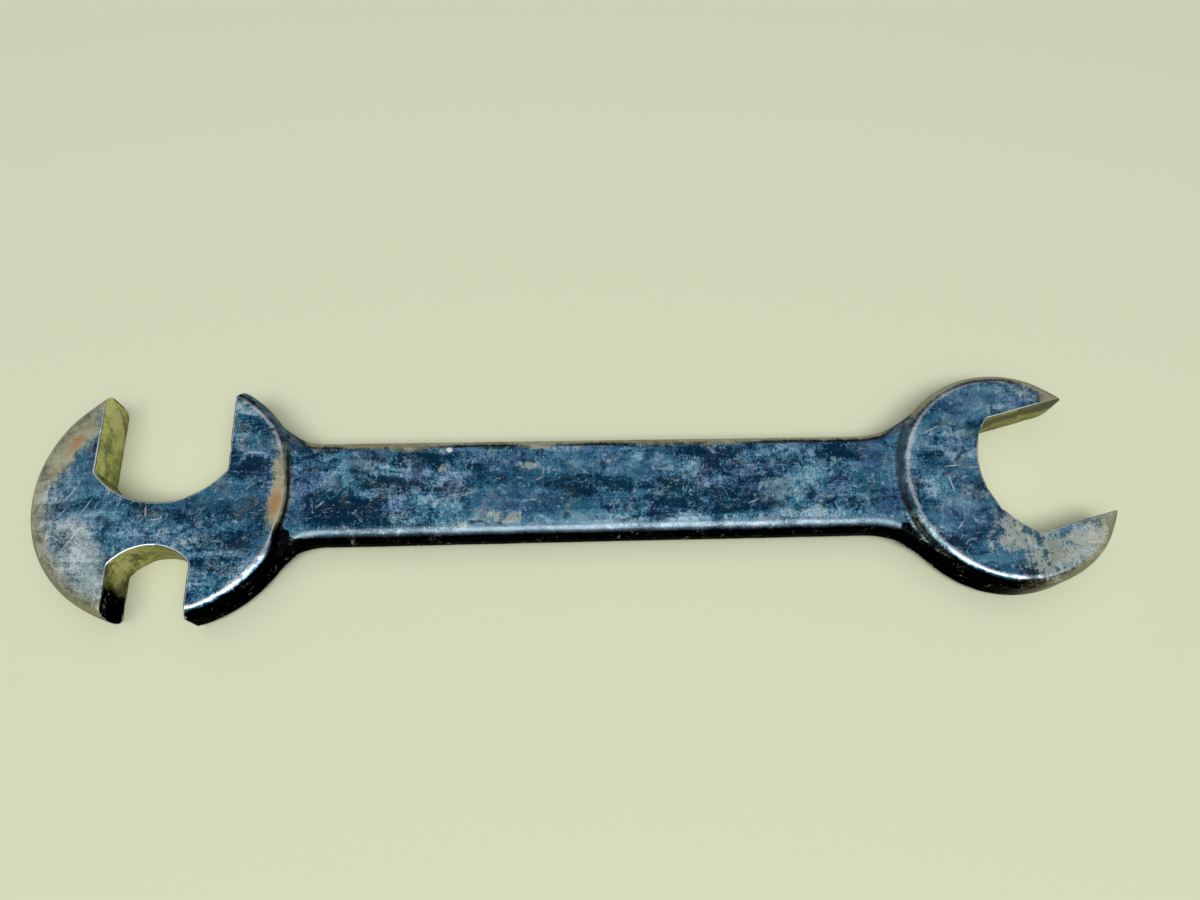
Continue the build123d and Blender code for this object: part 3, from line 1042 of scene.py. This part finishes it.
    # Each coat lies over the ones before it: its field, how ragged it is, where it begins and is full, how
    # much it hides, its tones from dark to pale, its metallic and its roughness
    crust = (props.crust_dark, props.crust_mid, props.crust_tan, props.crust_pale)
    coats = (
        ("edge", 0.8, 0.25, 0.75, 0.9, (props.edge_dark, props.edge_pale), 1.0, 0.26),
        ("rim", 0.8, 0.35, 0.85, 0.92, (props.rim_blue, props.rim_pale), 1.0, 0.2),
        # Painted light: a grey coat on slopes facing away from -Y, lifting them out of the painted shade
        ("slope_painted_light", 0.7, 0.2, 0.9, 0.6, (props.slope_painted_light_dark, props.slope_painted_light_pale), 0.4, 0.45),
        ("jaw_edge", 0.7, 0.25, 0.7, 0.9, (props.rim_pale, props.steel_pale), 1.0, 0.3),
        ("bare", 1.1, 0.12, 0.95, 0.95, (props.steel_dark, props.steel_mid, props.steel_pale), 1.0, 0.36),
        # Real tan stains, and the tan painted reflection on the +Y edges
        ("stain_and_painted_reflection", 0.9, 0.2, 0.95, 0.85, (props.stain_and_reflection_dark, props.stain_and_reflection_pale), 0.25, 0.5),
        ("crust", 1.8, 0.2, 0.85, 0.75, crust, 0.4, 0.55),
        ("rust", 0.9, 0.3, 1.0, 0.8, (props.rust_deep, props.rust_pale), 0.0, 0.75),
        ("jaw_wall", 0.3, 0.1, 0.9, 1.0, (props.jaw_dark, props.jaw_olive, props.jaw_brown), 1.0, 0.3),
    )
    metal = 1.0
    masks = {}
    for name, spread, low, high, cover, hues, metallic, roughness in coats:
        step = {0: ragged, 1: spread, 2: field[name]}
        edge = add_node(tree, "Math", step, operation="MULTIPLY_ADD").outputs[0]
        settings = {"Value": edge, "From Min": low, "From Max": high, "To Max": cover}
        mask = add_node(tree, "MapRange", settings, interpolation_type="SMOOTHSTEP").outputs[0]
        tones = list(zip(np.linspace(0.1, 0.95, len(hues)), hues))
        shade = flake if name == "crust" else value
        tone = add_node(tree, "ValToRGB", {0: shade}, stops=tones).outputs[0]
        skin = add_node(tree, "Mix", {0: mask, 6: skin, 7: tone}, data_type="RGBA").outputs[2]
        rough = add_node(tree, "Mix", {0: mask, 2: rough, 3: roughness}).outputs[0]
        if metallic < 1:
            metal = add_node(tree, "Mix", {0: mask, 2: metal, 3: metallic}).outputs[0]
        masks[name] = mask
        # After the rims, the painted shade covers the walls and steep slopes
        if name == "rim":
            settings = {0: level, 6: props.wall_painted_shade, 7: skin}
            skin = add_node(tree, "Mix", settings, data_type="RGBA").outputs[2]

    # Scratches through the skin, and the fleck of paint on it
    marks = []
    for group, most in ((SCRATCHES, 0.6), ((PAINT_FLECK,), 0.85)):
        mark = 0.0
        for x, y, half_length, half_width, turn in group:
            settings = {
                "Vector": mm,
                "Location": (x, y, HEAD_TOP - 1.0),
                "Rotation": (0, 0, radians(turn)),
                "Scale": (half_length, half_width, 3.0),
            }
            local = add_node(tree, "Mapping", settings, vector_type="TEXTURE").outputs[0]
            one = add_node(tree, "TexGradient", {0: local}, gradient_type="SPHERICAL").outputs[1]
            mark = add_node(tree, "Math", {0: mark, 1: one}, operation="MAXIMUM").outputs[0]
        step = {0: ragged, 1: 0.3, 2: mark}
        edge = add_node(tree, "Math", step, operation="MULTIPLY_ADD").outputs[0]
        settings = {"Value": edge, "From Min": 0.1, "From Max": 0.5, "To Max": most}
        marks.append(add_node(tree, "MapRange", settings).outputs[0])
    scratch, fleck = marks
    for mark, hue in ((scratch, props.steel_pale), (fleck, props.paint)):
        skin = add_node(tree, "Mix", {0: mark, 6: skin, 7: hue}, data_type="RGBA").outputs[2]
    metal = add_node(tree, "Mix", {0: fleck, 2: metal, 3: 0.0}).outputs[0]

    relief = 0.0
    heights = (
        (mottle["fleck"], 0.5),
        (mottle["grain"], 0.25),
        (mottle["along"], 0.2),
        (masks["crust"], 0.5),
        (masks["rust"], 0.4),
        (scratch, -0.4),
        (fleck, 1.0),
    )
    for height, gain in heights:
        step = {0: height, 1: gain, 2: relief}
        relief = add_node(tree, "Math", step, operation="MULTIPLY_ADD").outputs[0]
    settings = {"Strength": 0.6, "Distance": 0.00004, "Height": relief}
    normal = add_node(tree, "Bump", settings).outputs[0]
    settings = {
        "Base Color": skin,
        "Metallic": metal,
        "Roughness": rough,
        "Specular Tint": (0.35, 0.35, 0.35, 1.0),
        "Normal": normal,
    }
    shader = add_node(tree, "BsdfPrincipled", settings).outputs[0]
    add_node(tree, "OutputMaterial", {"Surface": shader})
    return material


def plain_floor(hue):
    """Matt lacquered board: one even, pale colour with almost no gloss."""
    material = bpy.data.materials.new("matt_lacquered_board")
    material.use_nodes = True
    tree = material.node_tree
    tree.nodes.clear()
    shader = add_node(tree, "BsdfPrincipled", {"Base Color": hue, "Roughness": 0.85}).outputs[0]
    add_node(tree, "OutputMaterial", {"Surface": shader})
    return material


class WRENCH_OT_forged_body(bpy.types.Operator):
    """Builds the worn forging and hides the CAD solid that it stands for"""

    bl_idname = "wrench.forged_body"
    bl_label = "Forged body"

    def execute(self, context):
        props = context.scene.wrench_forging
        lengths = (props.spacing, props.grid, props.edge_break)
        mesh, jaws = forge_mesh("worn_forging", *(value * MM for value in lengths))
        points, normals = (np.zeros(len(mesh.vertices) * 3) for _ in range(2))
        mesh.vertices.foreach_get("co", points)
        mesh.vertex_normals.foreach_get("vector", normals)
        points, normals = points.reshape(-1, 3), normals.reshape(-1, 3)
        gap = jaw_gap(points[:, :2], jaws)
        rng = np.random.default_rng(SEED)
        fields = wear_fields(points, normals, gap, rng)
        uneven = wavy(points, rng, *LONG_WAVES) + 0.5 * wavy(points, rng, *SHORT_WAVES)
        sink = props.swell * MM * np.clip(0.5 + 0.35 * uneven * smooth(0.0, 1.5, gap), 0, 1.2)
        pits = np.clip(0.5 + wavy(points, rng, *PIT_WAVES), 0, 1)
        sink += props.pitting * MM * pits * np.clip(fields["crust"], 0, 1) * smooth(0.0, 0.6, gap)
        points -= normals * sink[:, None]
        edges = np.nonzero(np.maximum(fields["jaw_edge"], fields["rim"]) > 0.6)[0]
        dent(points, normals, rng, edges, *EDGE_DENTS)
        faces = np.nonzero((fields["level"] > 0.8) & (gap > 1.0))[0]
        dent(points, normals, rng, faces, *FACE_DENTS)
        points = np.clip(points / MM, CAD_BOX[0][:], CAD_BOX[1][:])
        mesh.vertices.foreach_set("co", points.ravel())
        for name, values in fields.items():
            attribute = mesh.attributes.new(name, "FLOAT", "POINT")
            attribute.data.foreach_set("value", values.astype(np.float32))
        mesh.validate()
        mesh.update()
        mesh.shade_smooth()
        mesh.materials.append(black_oxide_steel(context.scene.wrench_finish))
        piece = bpy.data.objects.new("worn_forging", mesh)
        context.scene.collection.objects.link(piece)
        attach(piece, "root")
        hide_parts(CAD_NODE)
        return {"FINISHED"}


class WRENCH_OT_studio(bpy.types.Operator):
    """Adds the plain floor, the soft light and the camera"""

    bl_idname = "wrench.studio"
    bl_label = "Studio"

    def execute(self, context):
        scene = context.scene
        props = scene.wrench_studio
        half = FLOOR_SIZE / 2
        mesh = bpy.data.meshes.new("floor")
        corners = [(-half, -half, 0), (half, -half, 0), (half, half, 0), (-half, half, 0)]
        mesh.from_pydata(corners, [], [(0, 1, 2, 3)])
        mesh.materials.append(plain_floor(props.floor))
        floor = bpy.data.objects.new("floor", mesh)
        scene.collection.objects.link(floor)

        lamp = bpy.data.lights.new("softbox", "AREA")
        lamp.shape = "RECTANGLE"
        lamp.size, lamp.size_y = SOFTBOX_SIZE
        lamp.energy = props.softbox_power
        softbox = bpy.data.objects.new("softbox", lamp)
        softbox.location = SOFTBOX_PLACE
        softbox.rotation_euler = Vector(SOFTBOX_PLACE).to_track_quat("Z", "Y").to_euler()
        scene.collection.objects.link(softbox)

        world = bpy.data.worlds.new("studio_walls")
        world.use_nodes = True
        tree = world.node_tree
        tree.nodes.clear()
        way = add_node(tree, "TexCoord").outputs["Generated"]
        rise = add_node(tree, "SeparateXYZ", {0: way}).outputs["Z"]
        low, high = WALL_HEIGHTS
        dark, light = WALL_LIGHT
        settings = {"Value": rise, "From Min": low, "From Max": high, "To Min": dark, "To Max": light}
        level = add_node(tree, "MapRange", settings, interpolation_type="SMOOTHSTEP").outputs[0]
        sky = add_node(tree, "Background", {"Color": props.sky, "Strength": level}).outputs[0]
        add_node(tree, "OutputWorld", {"Surface": sky})
        scene.world = world

        view = bpy.data.cameras.new("camera")
        view.sensor_width = SENSOR_WIDTH
        view.lens = props.lens
        view.clip_start = NEAREST_SEEN
        camera = bpy.data.objects.new("camera", view)
        camera.location = CAMERA_PLACE
        camera.rotation_euler = [radians(turn) for turn in CAMERA_TURN]
        scene.collection.objects.link(camera)
        scene.camera = camera
        scene.view_settings.view_transform = "Standard"
        return {"FINISHED"}


class WRENCH_PT_panel(bpy.types.Panel):
    """Lists the wrench's pieces, its finish and its studio"""

    bl_idname = "WRENCH_PT_panel"
    bl_label = "Wrench"
    bl_space_type = "VIEW_3D"
    bl_region_type = "UI"
    bl_category = "Wrench"

    def draw(self, context):
        scene = context.scene
        self.layout.operator("wrench.forged_body")
        self.layout.operator("wrench.studio")
        for group in (scene.wrench_forging, scene.wrench_finish, scene.wrench_studio):
            box = self.layout.box()
            for name in type(group).__annotations__:
                box.prop(group, name)


CLASSES = (ForgingProps, FinishProps, StudioProps, WRENCH_OT_forged_body, WRENCH_OT_studio, WRENCH_PT_panel)


def register():
    """Registers the classes and gives the scene their properties."""
    for kind in CLASSES:
        bpy.utils.register_class(kind)
    bpy.types.Scene.wrench_forging = bpy.props.PointerProperty(type=ForgingProps)
    bpy.types.Scene.wrench_finish = bpy.props.PointerProperty(type=FinishProps)
    bpy.types.Scene.wrench_studio = bpy.props.PointerProperty(type=StudioProps)


def unregister():
    """Undoes register."""
    del bpy.types.Scene.wrench_studio
    del bpy.types.Scene.wrench_finish
    del bpy.types.Scene.wrench_forging
    for kind in reversed(CLASSES):
        bpy.utils.unregister_class(kind)


def main():
    """Builds the wrench and its studio."""
    register()
    bpy.ops.wrench.forged_body()
    bpy.ops.wrench.studio()


if __name__ == "__main__":
    main()
